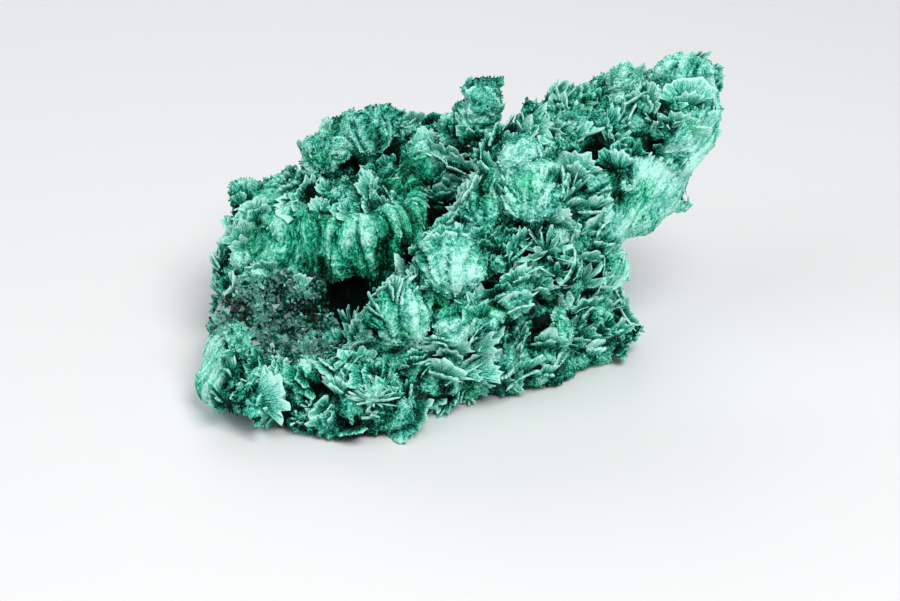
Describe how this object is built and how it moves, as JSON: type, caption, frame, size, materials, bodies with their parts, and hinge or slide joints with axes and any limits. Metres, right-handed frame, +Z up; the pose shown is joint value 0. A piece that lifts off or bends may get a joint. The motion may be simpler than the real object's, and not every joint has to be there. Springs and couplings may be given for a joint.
{
  "type": "velvet malachite specimen",
  "caption": "Hand specimen of velvet malachite: a lump of silky green fibrous sprays with a leaning ridge, an overhanging horn, a fluted block and a deep slot, flat underneath.",
  "frame": {"origin": "on the ground under the middle of the specimen's bounding box", "axes": "+Z up, +X towards the overhanging horn, along the longest side; the ridge faces -Y"},
  "size_m": [0.0764, 0.058, 0.044],
  "materials": {
    "malachite": "silky fibrous green, pale mint on the tips and near-black in the crevices"
  },
  "bodies": {
    "root": {"malachite_specimen": "malachite"}
  },
  "joints": []
}
